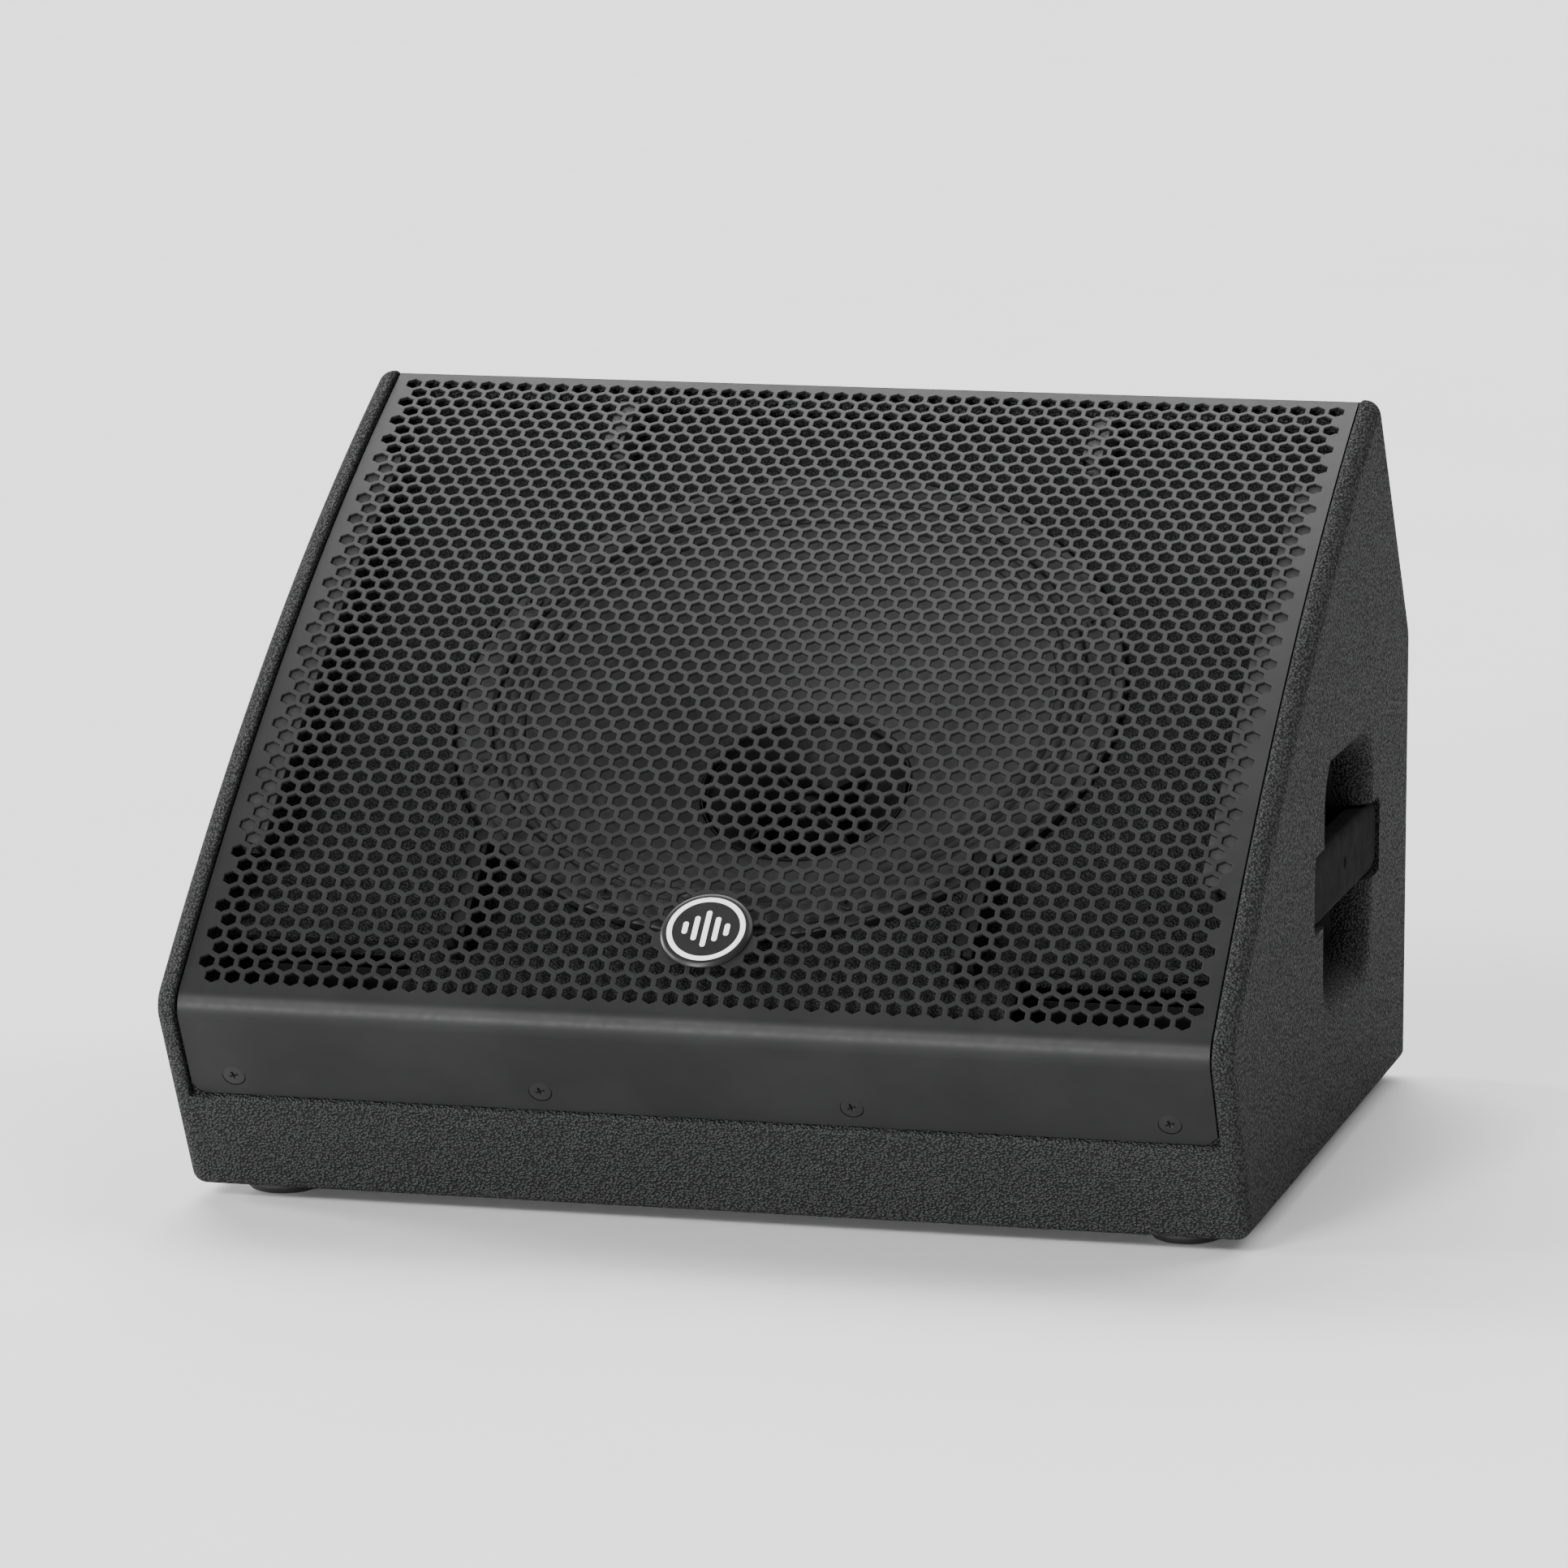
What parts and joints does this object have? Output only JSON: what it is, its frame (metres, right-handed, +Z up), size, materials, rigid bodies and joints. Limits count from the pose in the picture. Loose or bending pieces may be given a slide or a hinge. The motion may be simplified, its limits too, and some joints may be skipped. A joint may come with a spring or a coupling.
{
  "type": "stage monitor wedge",
  "caption": "Low wedge loudspeaker: coated plywood cabinet, bent perforated steel grille, coaxial driver, side handle, pole socket and a rear amplifier panel.",
  "frame": {"origin": "on the floor under the centre of the cabinet's box", "axes": "+X to the right seen from the front, +Y from the nose to the rear panel, +Z up"},
  "size_m": [0.506, 0.467, 0.3535],
  "materials": {
    "cabinet_coating": "plywood under a matte, granular polyurea coating",
    "raw_plywood": "unfinished birch plywood",
    "duct_board": "matte",
    "grille_steel": "satin powder coat",
    "black_screws": "black oxide, semi-gloss",
    "zinc_screws": "zinc plated",
    "foam": "open-cell foam",
    "badge": "gloss black with a white ring",
    "handle_rubber": "smooth moulded",
    "rubber": "matte",
    "moulded_plastic": "fine texture",
    "cast_frame": "black coated casting",
    "paper_cone": "black felted paper",
    "treated_cloth": "coated cloth",
    "spider_cloth": "resin-treated cloth",
    "coil_copper": "enamelled wire",
    "plain_steel": "zinc plated",
    "ferrite": "matte",
    "amp_metal": "fine texture powder coat",
    "black_aluminium": "anodised",
    "circuit_board": "solder mask",
    "supply_case": "folded sheet",
    "contact_metal": "nickel",
    "display_glass": "clear window over a dark screen"
  },
  "bodies": {
    "cabinet": {"side_panel_left": "cabinet_coating", "side_panel_right": "cabinet_coating", "bottom_panel": "cabinet_coating", "front_panel": "cabinet_coating", "baffle": "cabinet_coating", "slope_panel": "cabinet_coating", "rear_panel": "cabinet_coating", "top_rail": "cabinet_coating", "brace": "raw_plywood", "port_duct_left": "duct_board", "port_duct_right": "duct_board", "grille": "grille_steel", "grille_screws": "black_screws", "grille_strips": "foam", "grille_pads_upper": "foam", "grille_pads_lower": "foam", "badge": "badge", "handle_cup": "cabinet_coating", "handle_bar": "handle_rubber", "handle_screws": "zinc_screws", "feet_front": "rubber", "feet_rear": "rubber", "foot_screws": "zinc_screws", "pole_socket": "moulded_plastic", "pole_socket_screws": "black_screws", "driver_frame": "cast_frame", "driver_gasket": "foam", "driver_screws": "black_screws", "surround": "treated_cloth", "spider": "spider_cloth", "top_plate": "plain_steel", "magnet": "ferrite", "pole_piece": "plain_steel", "hf_horn": "moulded_plastic", "hf_driver": "cast_frame", "amp_tray": "amp_metal", "amp_plate": "amp_metal", "amp_screws": "black_screws", "heat_sink": "black_aluminium", "amp_board": "circuit_board", "power_supply": "supply_case", "combo_jack_1": "moulded_plastic", "combo_jack_2": "moulded_plastic", "link_output": "moulded_plastic", "link_pins": "contact_metal", "mains_inlet": "moulded_plastic", "mains_pins": "contact_metal", "rocker_bezel": "moulded_plastic", "control_shafts": "contact_metal", "display": "display_glass"},
    "cone_assembly": {"cone": "paper_cone", "voice_coil": "coil_copper"},
    "latch_1": {"jack_latch_1": "contact_metal"},
    "latch_2": {"jack_latch_2": "contact_metal"},
    "power_switch": {"power_rocker": "moulded_plastic"},
    "level_1": {"level_knob_1": "moulded_plastic"},
    "level_2": {"level_knob_2": "moulded_plastic"},
    "menu": {"menu_knob": "moulded_plastic"},
    "button_1": {"menu_button_1": "moulded_plastic"},
    "button_2": {"menu_button_2": "moulded_plastic"}
  },
  "joints": [
    {"name": "cone_travel", "type": "slide", "parent": "cabinet", "child": "cone_assembly", "axis": [0, -0.5588, 0.8293], "range_m": [-0.005, 0.005], "stiffness_N_per_m": 4500, "deforming": ["surround", "spider"]},
    {"name": "latch_1_press", "type": "slide", "parent": "cabinet", "child": "latch_1", "axis": [0, -1, 0], "range_m": [0, 0.0015], "stiffness_N_per_m": 400, "springref_m": -0.0005},
    {"name": "latch_2_press", "type": "slide", "parent": "cabinet", "child": "latch_2", "axis": [0, -1, 0], "range_m": [0, 0.0015], "stiffness_N_per_m": 400, "springref_m": -0.0005},
    {"name": "power_rock", "type": "hinge", "parent": "cabinet", "child": "power_switch", "pos_m": [0.052, 0.21, 0.068], "axis": [1, 0, 0], "range_deg": [0, 18]},
    {"name": "level_1_turn", "type": "hinge", "parent": "cabinet", "child": "level_1", "pos_m": [0.028, 0.2095, 0.124], "axis": [0, 1, 0], "range_deg": [-150, 150]},
    {"name": "level_2_turn", "type": "hinge", "parent": "cabinet", "child": "level_2", "pos_m": [0.066, 0.2095, 0.124], "axis": [0, 1, 0], "range_deg": [-150, 150]},
    {"name": "menu_turn", "type": "hinge", "parent": "cabinet", "child": "menu", "pos_m": [0.104, 0.2095, 0.122], "axis": [0, 1, 0], "continuous": true},
    {"name": "button_1_press", "type": "slide", "parent": "cabinet", "child": "button_1", "axis": [0, -1, 0], "range_m": [0, 0.001], "stiffness_N_per_m": 600, "springref_m": -0.0004},
    {"name": "button_2_press", "type": "slide", "parent": "cabinet", "child": "button_2", "axis": [0, -1, 0], "range_m": [0, 0.001], "stiffness_N_per_m": 600, "springref_m": -0.0004}
  ]
}
